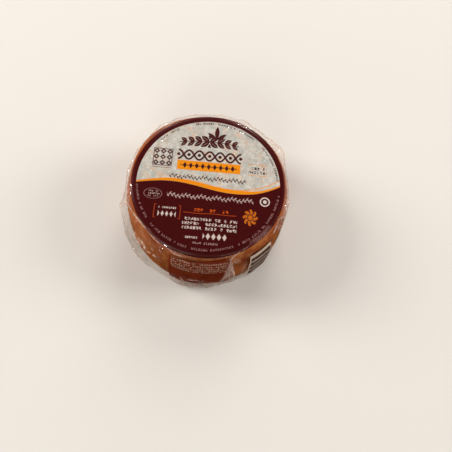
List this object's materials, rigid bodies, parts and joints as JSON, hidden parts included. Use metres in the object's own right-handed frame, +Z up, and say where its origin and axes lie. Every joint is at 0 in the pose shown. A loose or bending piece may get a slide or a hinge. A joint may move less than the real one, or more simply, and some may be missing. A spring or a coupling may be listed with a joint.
{
  "type": "wrapped trappist cheese",
  "caption": "Small round washed-rind cheese in clear film, with a round label on top, a printed strip down its front and a striped sticker on its side.",
  "frame": {"origin": "under the middle of the object's box, on the plane that it rests on", "axes": "+Z up through the round faces, the front with the printed strip towards -Y, +X to the right"},
  "size_m": [0.1014, 0.101, 0.0399],
  "materials": {
    "rind": "moist orange-brown rind, seen through the film",
    "film": "clear glossy wrapping film, whitish where it is folded",
    "top_print": "coated paper printed maroon, cream, gold and orange",
    "front_print": "coated paper printed dark red-brown with pale rows",
    "sticker_print": "pale paper sticker with dark stripes"
  },
  "bodies": {
    "root": {"wrapped_cheese": "rind", "top_label": "top_print", "front_label": "front_print", "side_sticker": "sticker_print"}
  },
  "joints": []
}
